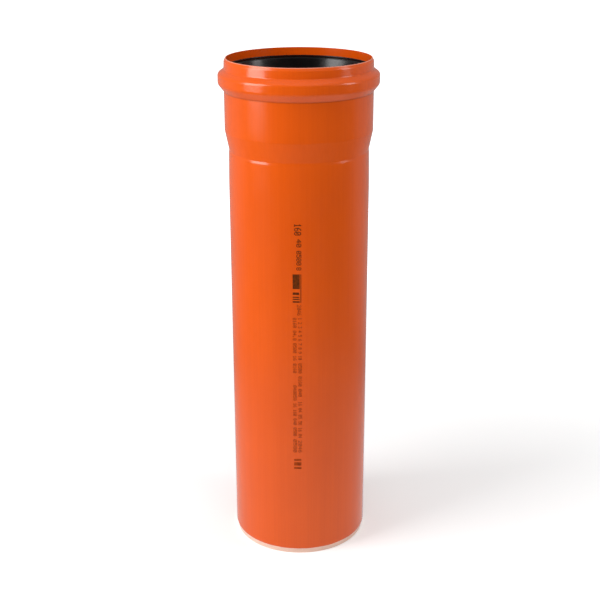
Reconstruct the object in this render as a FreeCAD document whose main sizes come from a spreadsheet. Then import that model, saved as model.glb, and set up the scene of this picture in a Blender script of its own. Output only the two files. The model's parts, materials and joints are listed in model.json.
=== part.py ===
import FreeCAD, Part
import os
import Sketcher

# A sewer pipe length of PVC-U, nominal size 160, with an integral ring socket and its rubber lip seal.
# The pipe stands on its spigot end: the origin is the centre of that end face and +Z runs up the axis.
# All lengths are in millimetres and all angles in degrees.

SIZES = {
    # the barrel
    "pipe_diameter": 160.0,
    "pipe_wall": 4.0,
    "laying_length": 500.0,
    # the spigot's insertion chamfer
    "chamfer_length": 9.0,
    "chamfer_angle": 15.0,
    # the socket, formed in the same wall
    "socket_depth": 84.0,
    "seat_length": 4.0,
    "socket_clearance": 0.4,
    "socket_wall": 3.1,
    "cone_angle": 11.5,
    "cone_round": 9.0,
    # the slight waist that forming leaves under the cone: a small shoulder, then a long run-out
    "neck_sink": 1.0,
    "neck_length": 38.0,
    "neck_round": 2.5,
    "neck_rise": 0.4,
    "neck_rise_length": 3.0,
    # the ring groove and the bulge that follows it outside, steeper towards the mouth
    "lip_length": 13.6,
    "lip_wall": 2.6,
    "groove_depth": 6.6,
    "groove_width": 8.2,
    "mouth_flank_angle": 54.0,
    "back_flank_angle": 39.0,
    "groove_round": 2.5,
    "groove_edge_round": 1.0,
    "crown_mouth_round": 4.0,
    "crown_back_round": 6.0,
    "root_round": 2.5,
    # the mouth's two edges
    "rim_round": 2.2,
    "rim_inner_round": 0.2,
    # the seal, with its lip held open as by a pipe of the same size
    "seal_gap": 0.15,
    "seal_lip_gap": 0.1,
    "seal_lip_wall": 1.3,
    "seal_slot_width": 1.2,
    "seal_slot_depth": 8.0,
    "seal_top_land": 0.8,
    "seal_edge_round": 0.4,
}

# Radii that several features share, as expressions of the sheet's cells.
PIPE_R = "Sizes.pipe_diameter / 2"
BORE_R = f"({PIPE_R} - Sizes.pipe_wall)"
NECK_R = f"({PIPE_R} - Sizes.neck_sink)"
NECK_BORE_R = f"({NECK_R} - Sizes.pipe_wall)"
SOCKET_R = f"({PIPE_R} + Sizes.socket_clearance)"
SOCKET_OUTER_R = f"({SOCKET_R} + Sizes.socket_wall)"
LIP_OUTER_R = f"({SOCKET_R} + Sizes.lip_wall)"
GROOVE_R = f"({SOCKET_R} + Sizes.groove_depth)"
CROWN_R = f"({GROOVE_R} + Sizes.socket_wall)"
CHAMFERED_R = f"({PIPE_R} - Sizes.chamfer_length * tan(Sizes.chamfer_angle * 1 deg))"

# Heights of the groove, counted down from the mouth.
TOP = "(Sizes.laying_length + Sizes.socket_depth)"
MOUTH_FLANK = "(Sizes.groove_depth / tan(Sizes.mouth_flank_angle * 1 deg))"
BACK_FLANK = "(Sizes.groove_depth / tan(Sizes.back_flank_angle * 1 deg))"
GROOVE_MOUTH_TOP = f"({TOP} - Sizes.lip_length)"
GROOVE_FLOOR_TOP = f"({GROOVE_MOUTH_TOP} - {MOUTH_FLANK})"
GROOVE_FLOOR_FOOT = f"({GROOVE_FLOOR_TOP} - Sizes.groove_width)"
GROOVE_MOUTH_FOOT = f"({GROOVE_FLOOR_FOOT} - {BACK_FLANK})"

# A wall that bends keeps its thickness if its outer corner is shifted along the axis by this much.
MOUTH_SHIFT = "(Sizes.socket_wall * tan(Sizes.mouth_flank_angle * 0.5 deg))"
BACK_SHIFT = "(Sizes.socket_wall * tan(Sizes.back_flank_angle * 0.5 deg))"
CONE_SHIFT = "(Sizes.socket_wall * tan(Sizes.cone_angle * 0.5 deg))"

# The crown's upper edge, and the root of the lip where the bulge's steep side meets it.
CROWN_TOP = f"({GROOVE_FLOOR_TOP} + {MOUTH_SHIFT})"
LIP_ROOT = f"({CROWN_TOP} + ({CROWN_R} - {LIP_OUTER_R}) / tan(Sizes.mouth_flank_angle * 1 deg))"

# Heights of the cone and the waist, counted down from the socket's straight bore. A pushed-in spigot
# seats in the cone, so the straight bore ends a little above the laying length.
SOCKET_FOOT = "(Sizes.laying_length + Sizes.seat_length)"
CONE_TOP = f"({SOCKET_FOOT} + {CONE_SHIFT})"
CONE_FOOT = f"({CONE_TOP} - ({SOCKET_OUTER_R} - {NECK_R}) / tan(Sizes.cone_angle * 1 deg))"
CONE_BORE_FOOT = f"({SOCKET_FOOT} - ({SOCKET_R} - {NECK_BORE_R}) / tan(Sizes.cone_angle * 1 deg))"
NECK_FOOT = f"({CONE_FOOT} - Sizes.neck_length)"

# The seal follows the groove, a small gap inside it, and its lip stays just clear of the pipe it seals.
SEAL_BACK_R = f"({GROOVE_R} - Sizes.seal_gap)"
SEAL_LIP_R = f"({PIPE_R} + Sizes.seal_lip_gap)"
SEAL_SLOT_IN_R = f"({SEAL_LIP_R} + Sizes.seal_lip_wall)"
SEAL_SLOT_OUT_R = f"({SEAL_SLOT_IN_R} + Sizes.seal_slot_width)"
SEAL_FLANK_DROP = "(Sizes.seal_gap / sin(Sizes.mouth_flank_angle * 1 deg))"
SEAL_TOP = f"({GROOVE_MOUTH_TOP} - {SEAL_FLANK_DROP} - Sizes.seal_top_land)"
SEAL_FOOT = f"({GROOVE_FLOOR_FOOT} + Sizes.seal_gap)"
SEAL_TOP_R = f"({SOCKET_R} + Sizes.seal_top_land * tan(Sizes.mouth_flank_angle * 1 deg))"

# The pipe's half section. Each corner is its name, its radius and its height, in order round the wall.
PIPE_CORNERS = (
    ("spigot_outer", CHAMFERED_R, "0"),
    ("chamfer_top", PIPE_R, "Sizes.chamfer_length"),
    ("neck_start", PIPE_R, NECK_FOOT),
    ("neck_shoulder", f"{NECK_R} + Sizes.neck_rise", f"{CONE_FOOT} - Sizes.neck_rise_length"),
    ("neck", NECK_R, CONE_FOOT),
    ("cone_top", SOCKET_OUTER_R, CONE_TOP),
    ("bulge_foot", SOCKET_OUTER_R, f"{GROOVE_MOUTH_FOOT} - {BACK_SHIFT}"),
    ("crown_foot", CROWN_R, f"{GROOVE_FLOOR_FOOT} - {BACK_SHIFT}"),
    ("crown_top", CROWN_R, CROWN_TOP),
    ("lip_root", LIP_OUTER_R, LIP_ROOT),
    ("rim_outer", LIP_OUTER_R, TOP),
    ("rim_inner", SOCKET_R, TOP),
    ("groove_mouth_top", SOCKET_R, GROOVE_MOUTH_TOP),
    ("groove_floor_top", GROOVE_R, GROOVE_FLOOR_TOP),
    ("groove_floor_foot", GROOVE_R, GROOVE_FLOOR_FOOT),
    ("groove_mouth_foot", SOCKET_R, GROOVE_MOUTH_FOOT),
    ("socket_foot", SOCKET_R, SOCKET_FOOT),
    ("neck_bore", NECK_BORE_R, CONE_BORE_FOOT),
    ("neck_bore_start", BORE_R, NECK_FOOT),
    ("spigot_inner", BORE_R, "0"),
)

# Rounded corners of the pipe: the cell that holds the radius, and the corners that have it.
PIPE_ROUNDS = {
    "neck_round": ("neck", "neck_bore"),
    "cone_round": ("cone_top", "socket_foot"),
    "root_round": ("bulge_foot", "lip_root"),
    "crown_mouth_round": ("crown_top",),
    "crown_back_round": ("crown_foot",),
    "groove_round": ("groove_floor_top", "groove_floor_foot"),
    "groove_edge_round": ("groove_mouth_top", "groove_mouth_foot"),
    "rim_round": ("rim_outer",),
    "rim_inner_round": ("rim_inner",),
}

# A rounding that a thin wall limits: the rim's two roundings leave a little of its face flat.
WALL_LIMITS = {
    "rim_round": "min(Sizes.rim_round; Sizes.lip_wall * 0.95 - Sizes.rim_inner_round)",
}

# The seal's half section: a back that fills the groove, and a lip that hangs from its top past a slot.
SEAL_CORNERS = (
    ("back_foot", SEAL_BACK_R, SEAL_FOOT),
    ("back_top", SEAL_BACK_R, f"{GROOVE_FLOOR_TOP} - {SEAL_FLANK_DROP}"),
    ("nose", SEAL_TOP_R, SEAL_TOP),
    ("lip_top", SEAL_LIP_R, f"{SEAL_TOP} - Sizes.seal_lip_wall"),
    ("lip_tip", SEAL_LIP_R, SEAL_FOOT),
    ("lip_tip_back", SEAL_SLOT_IN_R, SEAL_FOOT),
    ("slot_in", SEAL_SLOT_IN_R, f"{SEAL_FOOT} + Sizes.seal_slot_depth"),
    ("slot_out", SEAL_SLOT_OUT_R, f"{SEAL_FOOT} + Sizes.seal_slot_depth"),
    ("slot_mouth", SEAL_SLOT_OUT_R, SEAL_FOOT),
)

# Rounded corners of the seal: its back has the groove's own rounding, and its lip has soft edges.
SEAL_ROUNDS = {
    "groove_round": ("back_foot", "back_top"),
    "seal_edge_round": ("nose", "lip_top", "lip_tip", "lip_tip_back"),
}


def make_sheet(doc):
    """The spreadsheet of driving dimensions, one row for each."""
    sheet = doc.addObject("Spreadsheet::Sheet", "Sizes")
    for row, (alias, value) in enumerate(SIZES.items(), start=1):
        sheet.set(f"A{row}", alias)
        sheet.set(f"B{row}", str(value))
        sheet.setAlias(f"B{row}", alias)
    doc.recompute()
    return sheet


def origin_plane(body, role):
    return next(item for item in body.Origin.OriginFeatures if item.Role == role)


def section_sketch(sheet, body, name, corners):
    """A closed half section on the XZ plane: straight walls between corners that the sheet places."""
    sketch = body.newObject("Sketcher::SketchObject", name)
    sketch.AttachmentSupport = [(origin_plane(body, "XZ_Plane"), "")]
    sketch.MapMode = "FlatFace"
    points = []
    for _, radius, height in corners:
        x = float(sheet.evalExpression(radius.replace("Sizes.", "")))
        y = float(sheet.evalExpression(height.replace("Sizes.", "")))
        points.append(FreeCAD.Vector(x, y, 0))
    count = len(points)
    for i, point in enumerate(points):
        sketch.addGeometry(Part.LineSegment(point, points[(i + 1) % count]), False)
    for i in range(count):
        sketch.addConstraint(Sketcher.Constraint("Coincident", i, 2, (i + 1) % count, 1))
    for i, (corner, radius, height) in enumerate(corners):
        index = sketch.addConstraint(Sketcher.Constraint("DistanceX", -1, 1, i, 1, points[i].x))
        sketch.renameConstraint(index, f"{corner}_radius")
        sketch.setExpression(f"Constraints.{corner}_radius", radius)
        if height == "0":
            sketch.addConstraint(Sketcher.Constraint("PointOnObject", i, 1, -1))
        else:
            index = sketch.addConstraint(Sketcher.Constraint("DistanceY", -1, 1, i, 1, points[i].y))
            sketch.renameConstraint(index, f"{corner}_height")
            sketch.setExpression(f"Constraints.{corner}_height", height)
    return sketch


def turned_body(doc, sheet, label, corners):
    """A body whose half section is turned a full circle round the pipe's axis."""
    body = doc.addObject("PartDesign::Body", label.capitalize())
    body.Label = label
    sketch = section_sketch(sheet, body, f"{body.Name}Section", corners)
    doc.recompute()
    turned = body.newObject("PartDesign::Revolution", f"{body.Name}Turned")
    turned.Profile = sketch
    turned.ReferenceAxis = (sketch, ["V_Axis"])
    turned.Angle = 360
    sketch.Visibility = False
    body.Tip = turned
    doc.recompute()
    return body, sketch


def ring_edge(shape, corner):
    """The name of the circular edge that a corner of the half section swept."""
    close = 0.001
    for number, edge in enumerate(shape.Edges, start=1):
        if not isinstance(edge.Curve, Part.Circle):
            continue
        if abs(edge.Curve.Radius - corner.x) < close and abs(edge.Curve.Center.z - corner.y) < close:
            return f"Edge{number}"
    raise RuntimeError(f"no edge at radius {corner.x}, height {corner.y}")


def round_corners(doc, body, sketch, corners, rounds):
    """Fillets round the body, one feature for each radius in the sheet."""
    names = [corner[0] for corner in corners]
    for alias, rounded in rounds.items():
        base = body.Tip
        edges = [ring_edge(base.Shape, sketch.Geometry[names.index(name)].StartPoint) for name in rounded]
        fillet = body.newObject("PartDesign::Fillet", f"{body.Name}_{alias}")
        fillet.Base = (base, edges)
        fillet.setExpression("Radius", WALL_LIMITS.get(alias, f"Sizes.{alias}"))
        body.Tip = fillet
        doc.recompute()


def check(doc, bodies):
    """Stops the build if any feature failed or a body is not one valid solid."""
    for item in doc.Objects:
        if "Invalid" in item.State or "Error" in item.State:
            raise RuntimeError(f"{item.Name} failed: {item.State}")
    for body in bodies:
        if body.Shape.isNull() or not body.Shape.isValid() or len(body.Shape.Solids) != 1:
            raise RuntimeError(f"{body.Label} is not one valid solid")


def main():
    doc = FreeCAD.newDocument("SewerPipe")
    sheet = make_sheet(doc)
    pipe, pipe_section = turned_body(doc, sheet, "pipe", PIPE_CORNERS)
    round_corners(doc, pipe, pipe_section, PIPE_CORNERS, PIPE_ROUNDS)
    seal, seal_section = turned_body(doc, sheet, "seal", SEAL_CORNERS)
    round_corners(doc, seal, seal_section, SEAL_CORNERS, SEAL_ROUNDS)
    bodies = (pipe, seal)
    for body in bodies:
        body.Placement = FreeCAD.Placement()
    doc.recompute()
    check(doc, bodies)
    os.makedirs("parts", exist_ok=True)
    for body in bodies:
        body.Shape.exportStep(f"parts/{body.Label}.step")
        box = body.Shape.BoundBox
        print(body.Label, round(body.Shape.Volume, 1), "mm3, top", round(box.ZMax, 2), "width", round(box.XLength, 2))


main()
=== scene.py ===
import json
import math

import bmesh
import bpy
from mathutils import Euler, Matrix, Vector


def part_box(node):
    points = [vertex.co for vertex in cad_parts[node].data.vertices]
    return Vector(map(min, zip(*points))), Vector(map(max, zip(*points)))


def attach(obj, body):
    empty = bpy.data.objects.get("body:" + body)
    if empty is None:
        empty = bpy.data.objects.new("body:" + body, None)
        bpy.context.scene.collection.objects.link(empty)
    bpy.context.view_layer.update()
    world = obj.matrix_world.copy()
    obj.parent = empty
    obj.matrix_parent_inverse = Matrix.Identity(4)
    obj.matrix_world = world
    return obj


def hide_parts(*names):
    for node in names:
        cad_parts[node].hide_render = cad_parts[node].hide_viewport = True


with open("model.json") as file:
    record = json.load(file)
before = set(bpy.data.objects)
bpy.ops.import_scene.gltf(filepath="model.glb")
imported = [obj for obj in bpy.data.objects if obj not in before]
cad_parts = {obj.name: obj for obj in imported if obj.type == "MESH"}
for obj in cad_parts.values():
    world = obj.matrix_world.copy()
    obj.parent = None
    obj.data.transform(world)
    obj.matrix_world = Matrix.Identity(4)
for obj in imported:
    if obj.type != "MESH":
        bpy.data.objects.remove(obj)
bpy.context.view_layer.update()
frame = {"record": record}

# A PVC-U sewer pipe stands on its spigot end, with its ring socket and lip seal at the top.
# Lengths are in metres in the row frame: the origin is the centre of the spigot's end, +Z the axis.

MM = 0.001
TAU = 2 * math.pi

# ---------------------------------------------------------------- sizes

mounts = {mount["name"]: mount for mount in frame["record"]["mounts"]}
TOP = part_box("pipe")[1].z
PIPE_R = mounts["spigot"]["dims"]["r_mm"] * MM
BORE_R = mounts["flow_bore"]["dims"]["r_mm"] * MM
SOCKET_R = mounts["socket_bore"]["dims"]["r_mm"] * MM
WALL = PIPE_R - BORE_R

SOCKET_DEPTH = 84 * MM
SEAT_LENGTH = 4 * MM             # a pushed-in spigot seats this far into the cone
SOCKET_WALL = 3.1 * MM
LIP_LENGTH = 13.6 * MM
LIP_WALL = 2.6 * MM
LIP_FLARE = 0.3 * MM             # the lip is this much thicker at its root
RIM_BEVEL = 3.2 * MM             # height of the slope on the rim's outer edge
RIM_FACE = 1.0 * MM              # width of the rim's flat face
GROOVE_DEPTH = 6.6 * MM
GROOVE_WIDTH = 8.2 * MM
MOUTH_FLANK_ANGLE = math.radians(54)     # the groove's steep side, towards the mouth
BACK_FLANK_ANGLE = math.radians(39)      # its easier side, towards the barrel
CONE_ANGLE = math.radians(11.5)
NECK_SINK = 1.0 * MM
NECK_LENGTH = 38 * MM
NECK_RISE = 0.4 * MM             # the small shoulder under the cone, where the waist starts to run out
NECK_RISE_LENGTH = 3 * MM
CHAMFER_LENGTH = 9 * MM
CHAMFER_ANGLE = math.radians(15)
SKIN = 0.5 * MM                  # the solid orange skin on each side of the foamed core

# Roundings of the pipe's corners, from the spigot's end up.
CUT_EDGE_ROUND = 0.15 * MM
CHAMFER_ROUND = 2 * MM
RUN_OUT_ROUND = 600 * MM         # where the waist runs out into the barrel
SHOULDER_ROUND = 4 * MM
NECK_ROUND = 2.5 * MM
NECK_BORE_ROUND = 30 * MM
CONE_ROUND = 9 * MM
CONE_BORE_ROUND = 20 * MM
BULGE_ROOT_ROUND = 1 * MM
CROWN_BACK_ROUND = 6 * MM
CROWN_MOUTH_ROUND = 4 * MM
LIP_ROOT_ROUND = 2 * MM
RIM_ROUND = 3 * MM
RIM_FACE_ROUND = 0.6 * MM
RIM_INNER_ROUND = 0.2 * MM
GROOVE_EDGE_ROUND = 1 * MM
GROOVE_ROUND = 2.5 * MM

SEAL_BELOW_MOUTH = 8.8 * MM      # from the mouth down to the seal's upper flange
SEAL_GAP = 0.1 * MM              # between the flange and the pipe's wall
SEAL_BACK_ROUND = 2.4 * MM
SEAL_EDGE_ROUND = 0.5 * MM
SEAL_NOTCH_ROUND = 0.4 * MM
SEAL_LIP_ROUND = 0.6 * MM
SEAL_NECK_ROUND = 0.8 * MM
FLANGE_WALL = 1.2 * MM
FLANGE_SLOPE = 0.3 * MM          # the flange's top falls this far inwards
FLANGE_LENGTH = 2.2 * MM
NOTCH_DEPTH = 0.5 * MM           # the notch between the flange and the lip
NOTCH_FOOT = 2.9 * MM
SEAL_LIP_TOP = 4.0 * MM          # the lip starts this far under the flange's top
SEAL_LIP_START = 0.2 * MM        # and this far inside the flange
SEAL_LIP_REACH = 4.0 * MM        # how far the free lip stands in from the socket's bore
SEAL_TIP_WALL = 1.0 * MM
SEAL_TIP_BEVEL = 1.1 * MM
SEAL_TIP_LIFT = 0.1 * MM         # the lip's tip hangs this far above the seal's foot
SLOT_DEPTH = 8.0 * MM            # the slot between the lip and the back
SLOT_START = 0.8 * MM            # its wall on the lip's side, out from the flange
SLOT_WIDTH = 1.2 * MM
SLOT_FLARE = 0.3 * MM

# Heights of the ring groove, counted down from the mouth.
GROOVE_TOP = TOP - LIP_LENGTH
FLOOR_TOP = GROOVE_TOP - GROOVE_DEPTH / math.tan(MOUTH_FLANK_ANGLE)
FLOOR_FOOT = FLOOR_TOP - GROOVE_WIDTH
GROOVE_FOOT = FLOOR_FOOT - GROOVE_DEPTH / math.tan(BACK_FLANK_ANGLE)

AROUND = 288                     # faces round the axis
ARC_STEP = math.radians(7)       # largest turn between two points of a rounded corner
LONGEST_STEP = 9 * MM            # largest step along a straight wall

# ---------------------------------------------------------------- turned meshes


def rounded_outline(corners):
    """Points and outward normals of a closed outline. Each corner is (radius, height, rounding)."""
    outline = []
    count = len(corners)
    for i, (r, z, rounding) in enumerate(corners):
        here = Vector((r, z))
        before = (here - Vector(corners[i - 1][:2])).normalized()
        after = (Vector(corners[(i + 1) % count][:2]) - here).normalized()
        turn = math.atan2(before.cross(after), before.dot(after))
        reach = rounding * math.tan(abs(turn) / 2)
        start = here - before * reach
        normal = Vector((before.y, -before.x))
        centre = start - normal * rounding * (1 if turn > 0 else -1)
        steps = max(2, math.ceil(abs(turn) / ARC_STEP))
        for k in range(steps + 1):
            angle = turn * k / steps
            spun = Vector((
                normal.x * math.cos(angle) - normal.y * math.sin(angle),
                normal.x * math.sin(angle) + normal.y * math.cos(angle),
            ))
            outline.append((centre + spun * rounding * (1 if turn > 0 else -1), spun))
    return subdivided(outline)


def subdivided(outline):
    """The same outline with points added along its long straight walls."""
    points = []
    for (a, normal), (b, _) in zip(outline, outline[1:] + outline[:1]):
        pieces = max(1, math.ceil((b - a).length / LONGEST_STEP))
        for k in range(pieces):
            points.append((a.lerp(b, k / pieces), normal))
    return points


def turned(name, outline):
    """A closed mesh: the outline turned round the axis, with its exact normals."""
    count = len(outline)
    verts = []
    normals = []
    for i in range(AROUND):
        angle = TAU * i / AROUND
        c, s = math.cos(angle), math.sin(angle)
        for point, normal in outline:
            verts.append((point.x * c, point.x * s, point.y))
            normals.append((normal.x * c, normal.x * s, normal.y))
    faces = []
    for i in range(AROUND):
        j = (i + 1) % AROUND
        for k in range(count):
            m = (k + 1) % count
            faces.append((i * count + k, j * count + k, j * count + m, i * count + m))
    mesh = bpy.data.meshes.new(name)
    mesh.from_pydata(verts, [], faces)
    mesh.shade_smooth()
    mesh.normals_split_custom_set_from_vertices(normals)
    piece = bpy.data.objects.new(name, mesh)
    bpy.context.scene.collection.objects.link(piece)
    return piece


# ---------------------------------------------------------------- shader helpers


class Shader:
    """A node material being built: a few short ways to add and join nodes."""

    def __init__(self, name):
        self.material = bpy.data.materials.new(name)
        self.material.use_nodes = True
        self.tree = self.material.node_tree
        self.tree.nodes.clear()
        self.output = self.tree.nodes.new("ShaderNodeOutputMaterial")
        self.bsdf = self.tree.nodes.new("ShaderNodeBsdfPrincipled")
        self.join(self.bsdf.outputs["BSDF"], self.output.inputs["Surface"])

    def join(self, source, target):
        """A link from one socket to the other."""
        self.tree.links.new(source, target)

    def node(self, kind, inputs=None, **settings):
        """A new node. Each input is joined if a socket is given, and set if a value is."""
        node = self.tree.nodes.new(kind)
        for key, value in settings.items():
            setattr(node, key, value)
        for key, value in (inputs or {}).items():
            if isinstance(value, bpy.types.NodeSocket):
                self.join(value, node.inputs[key])
            else:
                node.inputs[key].default_value = value
        return node

    def math(self, operation, a, b=0.0, clamp=False):
        return self.node("ShaderNodeMath", {0: a, 1: b}, operation=operation, use_clamp=clamp).outputs[0]

    def place(self):
        """The piece's own coordinates, in metres."""
        return self.node("ShaderNodeTexCoord").outputs["Object"]

    def stretched(self, vector, scale):
        return self.node("ShaderNodeMapping", {"Vector": vector, "Scale": scale}).outputs["Vector"]

    def noise(self, vector, scale, detail=3.0, roughness=0.5):
        inputs = {"Vector": vector, "Scale": scale, "Detail": detail, "Roughness": roughness}
        return self.node("ShaderNodeTexNoise", inputs).outputs["Fac"]

    def ramp(self, value, low, high, to_low=0.0, to_high=1.0):
        """value carried from low..high to to_low..to_high, smoothly and no further."""
        inputs = {"Value": value, "From Min": low, "From Max": high, "To Min": to_low, "To Max": to_high}
        return self.node("ShaderNodeMapRange", inputs, interpolation_type="SMOOTHSTEP").outputs["Result"]

    def mix(self, factor, a, b):
        node = self.node("ShaderNodeMix", {"Factor": factor}, data_type="RGBA")
        for key, value in (("A", a), ("B", b)):
            socket = next(s for s in node.inputs if s.name == key and s.type == "RGBA")
            if isinstance(value, bpy.types.NodeSocket):
                self.join(value, socket)
            else:
                socket.default_value = (*value, 1.0)
        return next(s for s in node.outputs if s.type == "RGBA")

    def bump(self, height, distance, below=None):
        inputs = {"Height": height, "Distance": distance}
        if below:
            inputs["Normal"] = below
        return self.node("ShaderNodeBump", inputs).outputs["Normal"]


# ---------------------------------------------------------------- materials

ORANGE = (0.73, 0.094, 0.001)
ORANGE_DEEP = (0.66, 0.080, 0.001)
# the colour of painted shade: the dark line of occlusion in the bulge's root
PAINTED_ROOT_SHADE = (0.36, 0.045, 0.001)          # the fine dark line in the bulge's root
CORE = (0.97, 0.66, 0.53)
CORE_AT_MOUTH = 0.3              # how plainly the core shows at the formed mouth
PVC_IOR = 1.53
THIN_INK_BELOW = 323 * MM        # the smaller marks under this height are printed thinner
RUBBER = (0.0035, 0.0033, 0.0033)
BLOOM = 1.9                      # the rubber's bloom is this much paler
DENSE_INK = ((0.17, 0.030, 0.001), (0.075, 0.017, 0.001))    # where its cover is least, and most
THIN_INK = ((0.38, 0.050, 0.001), (0.22, 0.030, 0.001))
INK_SPECULAR = 0.1


def from_axis(shader, place):
    """Each point's distance from the axis, and the node that splits its coordinates."""
    split = shader.node("ShaderNodeSeparateXYZ", {"Vector": place})
    x_squared = shader.math("POWER", split.outputs["X"], 2.0)
    y_squared = shader.math("POWER", split.outputs["Y"], 2.0)
    return shader.math("SQRT", shader.math("ADD", x_squared, y_squared)), split


def pipe_material():
    """Satin orange-brown PVC with die lines, and the pale foamed core where the ends are cut."""
    shader = Shader("orange_pvc")
    place = shader.place()
    radius, split = from_axis(shader, place)
    height = split.outputs["Z"]
    # the cut ends: the core shows where a cut surface lies between the two skins
    at_foot = shader.ramp(height, CHAMFER_LENGTH - 0.3 * MM, CHAMFER_LENGTH + 0.1 * MM, 1.0, 0.0)
    wander = shader.noise(place, 90.0, 4.0)
    skin_edge = shader.math("ADD", radius, shader.math("MULTIPLY", wander, 0.25 * MM))
    foot_outer = shader.ramp(skin_edge, PIPE_R - SKIN - 0.02 * MM, PIPE_R - SKIN + 0.12 * MM, 1.0, 0.0)
    foot_inner = shader.ramp(radius, BORE_R + SKIN - 0.06 * MM, BORE_R + SKIN, 0.0, 1.0)
    foot = shader.math("MULTIPLY", shader.math("MULTIPLY", foot_outer, foot_inner), at_foot)
    at_mouth = shader.ramp(height, TOP - 0.7 * MM, TOP - 0.4 * MM)
    mouth_inner = shader.ramp(radius, SOCKET_R + 0.25 * MM, SOCKET_R + 0.4 * MM)
    lip_outer = SOCKET_R + LIP_WALL
    mouth_outer = shader.ramp(radius, lip_outer - 0.45 * MM, lip_outer - 0.3 * MM, 1.0, 0.0)
    mouth = shader.math("MULTIPLY", shader.math("MULTIPLY", mouth_inner, mouth_outer), at_mouth)
    mouth = shader.math("MULTIPLY", mouth, CORE_AT_MOUTH)
    core = shader.math("ADD", foot, mouth, clamp=True)

    # the skin: faint bands along the pipe, and a slow drift of depth
    lines = shader.noise(shader.stretched(place, (1.0, 1.0, 0.012)), 420.0, 5.0, 0.6)
    drift = shader.noise(place, 7.0, 2.0)
    depth = shader.math("ADD", shader.math("MULTIPLY", lines, 0.35), shader.math("MULTIPLY", drift, 0.5))
    skin = shader.mix(shader.ramp(depth, 0.25, 0.65), ORANGE_DEEP, ORANGE)

    # painted shade: a fine dark line in the root under the bulge, where the concave corner is occluded, on
    # the outside only
    root_height = GROOVE_FOOT - SOCKET_WALL * math.tan(BACK_FLANK_ANGLE / 2)
    from_root = shader.math("ABSOLUTE", shader.math("SUBTRACT", height, root_height))
    outside = shader.ramp(radius, SOCKET_R + 0.6 * SOCKET_WALL, SOCKET_R + 0.8 * SOCKET_WALL)
    root = shader.math("MULTIPLY", shader.ramp(from_root, 0.2 * MM, 1.6 * MM, 0.55, 0.0), outside)
    skin = shader.mix(root, skin, PAINTED_ROOT_SHADE)

    # the core's cells
    cells = shader.node("ShaderNodeTexVoronoi", {"Vector": place, "Scale": 2600.0}).outputs["Distance"]
    core_colour = shader.mix(shader.ramp(cells, 0.1, 0.7), CORE, tuple(c * 0.86 for c in CORE))
    shader.join(shader.mix(core, skin, core_colour), shader.bsdf.inputs["Base Color"])

    # gloss: satin, a little duller in patches and along rubbed lines; the core is dull
    patches = shader.noise(place, 26.0, 5.0, 0.65)
    rubbed = shader.noise(shader.stretched(place, (1.0, 1.0, 0.03)), 900.0, 3.0)
    patchy = shader.math("MULTIPLY", patches, 0.10)
    sheen = shader.math("ADD", patchy, shader.math("MULTIPLY", rubbed, 0.06))
    gloss = shader.math("ADD", sheen, 0.12)
    dull = shader.math("MULTIPLY", core, 0.4)
    shader.join(shader.math("ADD", gloss, dull), shader.bsdf.inputs["Roughness"])
    shader.bsdf.inputs["IOR"].default_value = PVC_IOR

    # relief: die lines, then a fine orange peel, then the core's open cells
    die = shader.bump(lines, 0.02 * MM)
    peel = shader.bump(shader.noise(place, 520.0, 2.0), 0.012 * MM, below=die)
    open_cells = shader.math("MULTIPLY", cells, core)
    shader.join(shader.bump(open_cells, 0.12 * MM, below=peel), shader.bsdf.inputs["Normal"])
    return shader.material


def rubber_material():
    """Matt-satin black sealing rubber with a trace of moulding bloom."""
    shader = Shader("seal_rubber")
    place = shader.place()
    bloom = shader.noise(place, 60.0, 5.0, 0.6)
    grain = shader.noise(place, 1500.0, 2.0)
    grey = tuple(c * BLOOM for c in RUBBER)
    shader.join(shader.mix(shader.ramp(bloom, 0.35, 0.75), RUBBER, grey), shader.bsdf.inputs["Base Color"])
    shader.join(shader.ramp(bloom, 0.3, 0.8, 0.19, 0.30), shader.bsdf.inputs["Roughness"])
    shader.join(shader.bump(grain, 0.02 * MM), shader.bsdf.inputs["Normal"])
    return shader.material


def ink_material():
    """Dark brown marking ink, thin enough that its cover varies."""
    shader = Shader("marking_ink")
    place = shader.place()
    cover = shader.ramp(shader.noise(place, 350.0, 3.0), 0.25, 0.7)
    dense = shader.mix(cover, *DENSE_INK)
    thin = shader.mix(cover, *THIN_INK)
    height = shader.node("ShaderNodeSeparateXYZ", {"Vector": place}).outputs["Z"]
    inked = shader.mix(shader.ramp(height, THIN_INK_BELOW - 2 * MM, THIN_INK_BELOW), thin, dense)
    shader.join(inked, shader.bsdf.inputs["Base Color"])
    shader.join(shader.ramp(cover, 0.0, 1.0, 0.34, 0.46), shader.bsdf.inputs["Roughness"])
    shader.bsdf.inputs["Specular IOR Level"].default_value = INK_SPECULAR
    return shader.material


# ---------------------------------------------------------------- the pipe


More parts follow.
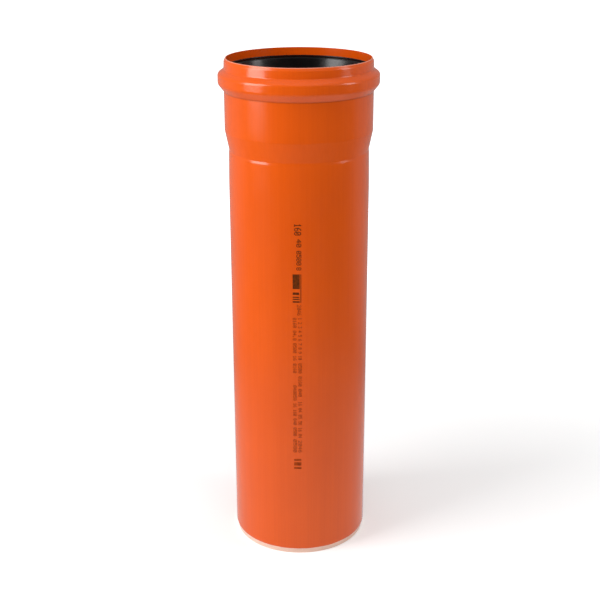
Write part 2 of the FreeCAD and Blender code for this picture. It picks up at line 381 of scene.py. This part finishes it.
def pipe_corners():
    """The pipe's half section, in order up the outside and down the inside."""
    crown_top_shift = SOCKET_WALL * math.tan(MOUTH_FLANK_ANGLE / 2)
    bulge_shift = SOCKET_WALL * math.tan(BACK_FLANK_ANGLE / 2)
    cone_shift = SOCKET_WALL * math.tan(CONE_ANGLE / 2)
    socket_foot = TOP - SOCKET_DEPTH + SEAT_LENGTH
    socket_outer = SOCKET_R + SOCKET_WALL
    crown = SOCKET_R + GROOVE_DEPTH + SOCKET_WALL
    crown_top = FLOOR_TOP + crown_top_shift
    lip_outer = SOCKET_R + LIP_WALL
    lip_root_r = lip_outer + LIP_FLARE
    lip_root = crown_top + (crown - lip_root_r) / math.tan(MOUTH_FLANK_ANGLE)
    neck = PIPE_R - NECK_SINK
    cone_top = socket_foot + cone_shift
    cone_foot = cone_top - (socket_outer - neck) / math.tan(CONE_ANGLE)
    neck_bore = neck - WALL
    cone_bore_foot = socket_foot - (SOCKET_R - neck_bore) / math.tan(CONE_ANGLE)
    neck_start = cone_foot - NECK_LENGTH
    return [
        (PIPE_R - CHAMFER_LENGTH * math.tan(CHAMFER_ANGLE), 0.0, CUT_EDGE_ROUND),
        (PIPE_R, CHAMFER_LENGTH, CHAMFER_ROUND),
        (PIPE_R, neck_start, RUN_OUT_ROUND),
        (neck + NECK_RISE, cone_foot - NECK_RISE_LENGTH, SHOULDER_ROUND),
        (neck, cone_foot, NECK_ROUND),
        (socket_outer, cone_top, CONE_ROUND),
        (socket_outer, GROOVE_FOOT - bulge_shift, BULGE_ROOT_ROUND),
        (crown, FLOOR_FOOT - bulge_shift, CROWN_BACK_ROUND),
        (crown, crown_top, CROWN_MOUTH_ROUND),
        (lip_root_r, lip_root, LIP_ROOT_ROUND),
        (lip_outer, TOP - RIM_BEVEL, RIM_ROUND),
        (SOCKET_R + RIM_FACE, TOP, RIM_FACE_ROUND),
        (SOCKET_R, TOP, RIM_INNER_ROUND),
        (SOCKET_R, GROOVE_TOP, GROOVE_EDGE_ROUND),
        (SOCKET_R + GROOVE_DEPTH, FLOOR_TOP, GROOVE_ROUND),
        (SOCKET_R + GROOVE_DEPTH, FLOOR_FOOT, GROOVE_ROUND),
        (SOCKET_R, GROOVE_FOOT, GROOVE_EDGE_ROUND),
        (SOCKET_R, socket_foot, CONE_BORE_ROUND),
        (neck_bore, cone_bore_foot, NECK_BORE_ROUND),
        (BORE_R, neck_start, RUN_OUT_ROUND),
        (BORE_R, 0.0, CUT_EDGE_ROUND),
    ]


def make_pipe():
    pipe = turned("pipe_wall", rounded_outline(pipe_corners()))
    pipe.data.materials.append(pipe_material())
    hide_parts("pipe")
    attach(pipe, "root")


# ---------------------------------------------------------------- the seal


def seal_corners():
    """The seal's half section: a back in the groove, a flange above it and a free, hanging lip."""
    low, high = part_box("seal")
    back, foot = high.x, low.z
    rim = SOCKET_R - SEAL_GAP
    top = TOP - SEAL_BELOW_MOUTH
    inner = rim - FLANGE_WALL
    flank = (back - rim) / math.tan(MOUTH_FLANK_ANGLE)
    back_top = FLOOR_TOP - 2 * SEAL_GAP
    tip = SOCKET_R - SEAL_LIP_REACH
    slot_inner = rim + SLOT_START
    slot_outer = slot_inner + SLOT_WIDTH
    slot_top = foot + SLOT_DEPTH
    return [
        (back, foot, SEAL_BACK_ROUND),
        (back, back_top, SEAL_BACK_ROUND),
        (rim, back_top + flank, SEAL_NECK_ROUND),
        (rim, top, SEAL_EDGE_ROUND),
        (inner, top - FLANGE_SLOPE, SEAL_LIP_ROUND),
        (inner, top - FLANGE_LENGTH, SEAL_NOTCH_ROUND),
        (inner + NOTCH_DEPTH, top - NOTCH_FOOT, SEAL_NOTCH_ROUND),
        (inner - SEAL_LIP_START, top - SEAL_LIP_TOP, SEAL_LIP_ROUND),
        (tip, foot + SEAL_TIP_LIFT + SEAL_TIP_BEVEL, SEAL_LIP_ROUND),
        (tip + SEAL_TIP_WALL, foot + SEAL_TIP_LIFT, SEAL_EDGE_ROUND),
        (slot_inner, slot_top, SEAL_EDGE_ROUND),
        (slot_outer, slot_top, SEAL_EDGE_ROUND),
        (slot_outer + SLOT_FLARE, foot, SEAL_NOTCH_ROUND),
    ]


def make_seal():
    seal = turned("lip_seal", rounded_outline(seal_corners()))
    seal.data.materials.append(rubber_material())
    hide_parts("seal")
    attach(seal, "root")


# ---------------------------------------------------------------- the printed line

INK_LIFT = 0.04 * MM
PRINT_ANGLE = math.radians(-1.8)           # where the line runs, round the pipe from its front
DOT_CORNERS = 8
BAR_STEP = 1.0 * MM              # a bar follows the barrel in steps no wider than this
DOT_ROWS = 7
DOT_COLUMNS = 6                  # five dots and the space to the next sign
DOT_OVERLAP = 1.4                # dots are this much wider than their spacing, so strokes join up

# Plain digits as an inkjet coder prints them, in seven rows of five dots.
DIGITS = {
    "0": "01110 10001 10011 10101 11001 10001 01110",
    "1": "00100 01100 00100 00100 00100 00100 01110",
    "2": "01110 10001 00001 00010 00100 01000 11111",
    "3": "11111 00010 00100 00010 00001 10001 01110",
    "4": "00010 00110 01010 10010 11111 00010 00010",
    "5": "11111 10000 11110 00001 00001 10001 01110",
    "6": "00110 01000 10000 11110 10001 10001 01110",
    "7": "11111 00001 00010 00100 01000 01000 01000",
    "8": "01110 10001 10001 01110 10001 10001 01110",
    "9": "01110 10001 10001 01111 00001 00010 01100",
    " ": "00000 00000 00000 00000 00000 00000 00000",
    ".": "00000 00000 00000 00000 00000 01100 01100",
}


class PrintLine:
    """Flat marks wrapped on the barrel. across runs round the pipe from the line's centre, up along it."""

    def __init__(self, centre_angle):
        self.centre = centre_angle
        self.mesh = bmesh.new()

    def wrapped(self, across, height):
        angle = self.centre + across / PIPE_R
        r = PIPE_R + INK_LIFT
        return self.mesh.verts.new((r * math.sin(angle), -r * math.cos(angle), height))

    def dot(self, across, height, size):
        ring = []
        for k in range(DOT_CORNERS):
            turn = TAU * k / DOT_CORNERS
            aside = size / 2 * math.cos(turn)
            above = size / 2 * math.sin(turn)
            ring.append(self.wrapped(across + aside, height + above))
        self.mesh.faces.new(ring)

    def bar(self, left, right, low, high):
        steps = max(1, math.ceil((right - left) / BAR_STEP))
        for k in range(steps):
            a = left + (right - left) * k / steps
            b = left + (right - left) * (k + 1) / steps
            corners = ((a, low), (b, low), (b, high), (a, high))
            self.mesh.faces.new([self.wrapped(*corner) for corner in corners])

    def digits(self, text, left, right, top, low):
        """Digits that read downwards between two heights, their feet towards left."""
        across = (right - left) / DOT_ROWS
        along = (top - low) / (DOT_COLUMNS * len(text))
        size = DOT_OVERLAP * (across + along) / 2
        for number, sign in enumerate(text):
            for row, dots in enumerate(DIGITS[sign].split()):
                for column, dot in enumerate(dots):
                    if dot == "1":
                        height = top - (DOT_COLUMNS * number + column + 0.5) * along
                        self.dot(right - (row + 0.5) * across, height, size)

    def piece(self, name):
        mesh = bpy.data.meshes.new(name)
        self.mesh.to_mesh(mesh)
        self.mesh.free()
        piece = bpy.data.objects.new(name, mesh)
        bpy.context.scene.collection.objects.link(piece)
        return piece


# The line's bars, then its digits. Each is left and right of the line's centre, then top and foot, in mm.
BARS = (
    (-4.9, 2.9, 357.9, 340.8),
    (-4.9, 2.3, 336.7, 333.8),
    (-4.9, 2.3, 331.6, 330.2),
    (-4.9, 2.6, 329.2, 327.9),
    (-4.9, 2.9, 326.4, 324.5),
    (3.5, 4.0, 357.9, 324.5),
    (4.5, 4.8, 357.9, 324.5),
    (-4.0, 4.4, 129.0, 126.4),
    (-4.0, 4.4, 124.6, 120.2),
    (-4.0, 4.4, 118.4, 115.8),
)
DIGIT_ROWS = (
    ("160", -3.1, 4.7, 415.9, 402.2),
    ("40", -0.7, 4.7, 398.3, 388.5),
    ("0500", -0.7, 4.7, 385.1, 367.7),
    ("8", -0.7, 4.7, 366.0, 361.9),
    ("2046", -0.1, 4.7, 321.9, 308.8),
    ("0160 04.0 0500 16", -4.9, -0.8, 306.4, 254.0),
    ("0160", -4.9, -0.8, 250.6, 238.6),
    ("040050", -4.9, -0.8, 223.6, 204.0),
    ("16", -4.9, -0.8, 201.0, 195.5),
    ("160 040 0500", -4.9, -0.8, 192.9, 158.5),
    ("0580", -4.9, -0.8, 154.6, 136.9),
    ("1 2 3 4 5 6 7 8 9 10", 1.1, 5.2, 306.4, 255.0),
    ("0500 0160 040", 1.1, 5.2, 251.0, 209.0),
    ("16 04 05 58 16 04", 1.1, 5.2, 203.0, 156.0),
    ("2046", 1.1, 5.2, 153.0, 136.9),
)


def make_print():
    line = PrintLine(PRINT_ANGLE)
    for left, right, top, foot in BARS:
        line.bar(left * MM, right * MM, foot * MM, top * MM)
    for text, left, right, top, foot in DIGIT_ROWS:
        line.digits(text, left * MM, right * MM, top * MM, foot * MM)
    marks = line.piece("print_line")
    marks.data.materials.append(ink_material())
    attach(marks, "root")


# ---------------------------------------------------------------- stage, light and camera

CAMERA_AWAY = 1.268
CAMERA_HEIGHT = 0.764
CAMERA_PITCH = math.radians(20.16)
CAMERA_ROLL = math.radians(-0.14)
CAMERA_ASIDE = 0.0007
CAMERA_LENS = 68.17

ROOM_LIGHT = 0.336               # the soft grey surround that lights the pipe
# the floor's painted pool of light: an emission seen only in reflections
POOL_INNER = 0.05                # the floor shines white in reflections out to here
POOL_OUTER = 1.00
POOL_SHINE = 0.7
BEHIND_SHINE = 0.4               # and how bright it is behind the pipe, growing over these distances
BEHIND_START = -0.5
BEHIND_END = 0.8
GLOW_NEAR = 0.2                  # light added for the camera, little by the foot so the shadow shows
GLOW_FAR = 1.0
GLOW_START = 0.25
GLOW_END = 1.5
FLOOR_WHITE = (0.86, 0.86, 0.86, 1)
FLOOR_ROUGHNESS = 0.9
FLOOR_REACH = 12.0
DARK_SIDE = 0.024                # the camera's side of the room, in reflections
DARK_SIDE_END = -0.95            # fully dark when a reflection looks this squarely at the camera's side
ROOM_START = -0.25               # and back to the room's own light here
LAMP_AIM = (0, 0, 0.35)
SENSOR_WIDTH = 36


def make_floor():
    """A large plain floor, white to the camera, that keeps the pipe's soft shadow; in reflections it glows
    with a painted pool of light, brightest near the pipe and behind it.
    """
    mesh = bpy.data.meshes.new("floor")
    corners = [(FLOOR_REACH * x, FLOOR_REACH * y, 0) for x, y in ((-1, -1), (1, -1), (1, 1), (-1, 1))]
    mesh.from_pydata(corners, [], [(0, 1, 2, 3)])
    floor = bpy.data.objects.new("floor", mesh)
    bpy.context.scene.collection.objects.link(floor)
    shader = Shader("white_floor")
    shader.bsdf.inputs["Base Color"].default_value = FLOOR_WHITE
    shader.bsdf.inputs["Roughness"].default_value = FLOOR_ROUGHNESS
    shader.bsdf.inputs["Specular IOR Level"].default_value = 0.0
    path = shader.node("ShaderNodeLightPath")
    away, split = from_axis(shader, shader.place())
    pool = shader.ramp(away, POOL_INNER, POOL_OUTER, POOL_SHINE, 0.0)
    behind = shader.ramp(split.outputs["Y"], BEHIND_START, BEHIND_END, 0.0, BEHIND_SHINE)
    pool = shader.math("MAXIMUM", pool, behind)
    mirrored = shader.math("MAXIMUM", path.outputs["Is Glossy Ray"], path.outputs["Is Transmission Ray"])
    glow = shader.ramp(away, GLOW_START, GLOW_END, GLOW_NEAR, GLOW_FAR)
    seen = shader.math("MULTIPLY", path.outputs["Is Camera Ray"], glow)
    added = shader.node("ShaderNodeEmission", {"Strength": seen}).outputs["Emission"]
    lit = shader.node("ShaderNodeAddShader", {0: shader.bsdf.outputs["BSDF"], 1: added}).outputs["Shader"]
    shine = shader.node("ShaderNodeEmission", {"Strength": pool}).outputs["Emission"]
    both = shader.node("ShaderNodeMixShader", {0: mirrored, 1: lit, 2: shine})
    shader.join(both.outputs["Shader"], shader.output.inputs["Surface"])
    mesh.materials.append(shader.material)


def make_world():
    """A white surround to the camera, and a soft grey one to the pipe."""
    world = bpy.data.worlds.new("studio")
    world.use_nodes = True
    tree = world.node_tree
    tree.nodes.clear()
    output = tree.nodes.new("ShaderNodeOutputWorld")
    background = tree.nodes.new("ShaderNodeBackground")
    background.inputs["Color"].default_value = (1, 1, 1, 1)
    path = tree.nodes.new("ShaderNodeLightPath")
    # the camera's side of the studio is dark in reflections
    direction = tree.nodes.new("ShaderNodeTexCoord")
    split = tree.nodes.new("ShaderNodeSeparateXYZ")
    tree.links.new(direction.outputs["Generated"], split.inputs["Vector"])
    mirrored = tree.nodes.new("ShaderNodeMapRange")
    mirrored.interpolation_type = "SMOOTHSTEP"
    mirrored.inputs["From Min"].default_value = DARK_SIDE_END
    mirrored.inputs["From Max"].default_value = ROOM_START
    mirrored.inputs["To Min"].default_value = DARK_SIDE
    mirrored.inputs["To Max"].default_value = ROOM_LIGHT
    tree.links.new(split.outputs["Y"], mirrored.inputs["Value"])
    room = tree.nodes.new("ShaderNodeMix")
    room.inputs["A"].default_value = ROOM_LIGHT
    tree.links.new(path.outputs["Is Glossy Ray"], room.inputs["Factor"])
    tree.links.new(mirrored.outputs["Result"], room.inputs["B"])
    level = tree.nodes.new("ShaderNodeMix")
    level.inputs["B"].default_value = 1.0
    tree.links.new(path.outputs["Is Camera Ray"], level.inputs["Factor"])
    tree.links.new(room.outputs["Result"], level.inputs["A"])
    tree.links.new(level.outputs["Result"], background.inputs["Strength"])
    tree.links.new(background.outputs["Background"], output.inputs["Surface"])
    bpy.context.scene.world = world


def add_softbox(name, azimuth, elevation, away, width, height, power):
    """A softbox in degrees, metres and watts; azimuth 0 is in front of the pipe and +90 on its right."""
    lamp = bpy.data.lights.new(name, "AREA")
    lamp.shape = "RECTANGLE"
    lamp.size, lamp.size_y = width, height
    lamp.energy = power
    box = bpy.data.objects.new(name, lamp)
    a, e = math.radians(azimuth), math.radians(elevation)
    aim = Vector(LAMP_AIM)
    level = math.cos(e)
    box.location = aim + away * Vector((math.sin(a) * level, -math.cos(a) * level, math.sin(e)))
    box.rotation_mode = "QUATERNION"
    box.rotation_quaternion = (aim - box.location).to_track_quat("-Z", "Y")
    box.visible_camera = False
    bpy.context.scene.collection.objects.link(box)
    return box


def make_lights():
    add_softbox("key_left", -66, 22, 1.7, 0.9, 1.5, 27)
    front = add_softbox("front_high", 10, 50, 2.0, 1.2, 1.2, 7)
    front.visible_glossy = False
    add_softbox("fill_right", 76, 20, 1.9, 0.5, 1.2, 8)
    overhead = add_softbox("overhead", 0, 88, 2.0, 1.6, 1.6, 14)
    overhead.visible_glossy = False


def make_camera():
    camera = bpy.data.objects.new("camera", bpy.data.cameras.new("camera"))
    camera.location = (CAMERA_ASIDE, -CAMERA_AWAY, CAMERA_HEIGHT)
    level = Euler((math.pi / 2 - CAMERA_PITCH, 0, 0)).to_matrix()
    camera.rotation_euler = (level @ Matrix.Rotation(CAMERA_ROLL, 3, "Z")).to_euler()
    camera.data.lens = CAMERA_LENS
    camera.data.sensor_width = SENSOR_WIDTH
    bpy.context.scene.collection.objects.link(camera)
    bpy.context.scene.camera = camera


make_pipe()
make_seal()
make_print()
make_floor()
make_world()
make_lights()
make_camera()
bpy.context.scene.view_settings.view_transform = "Standard"
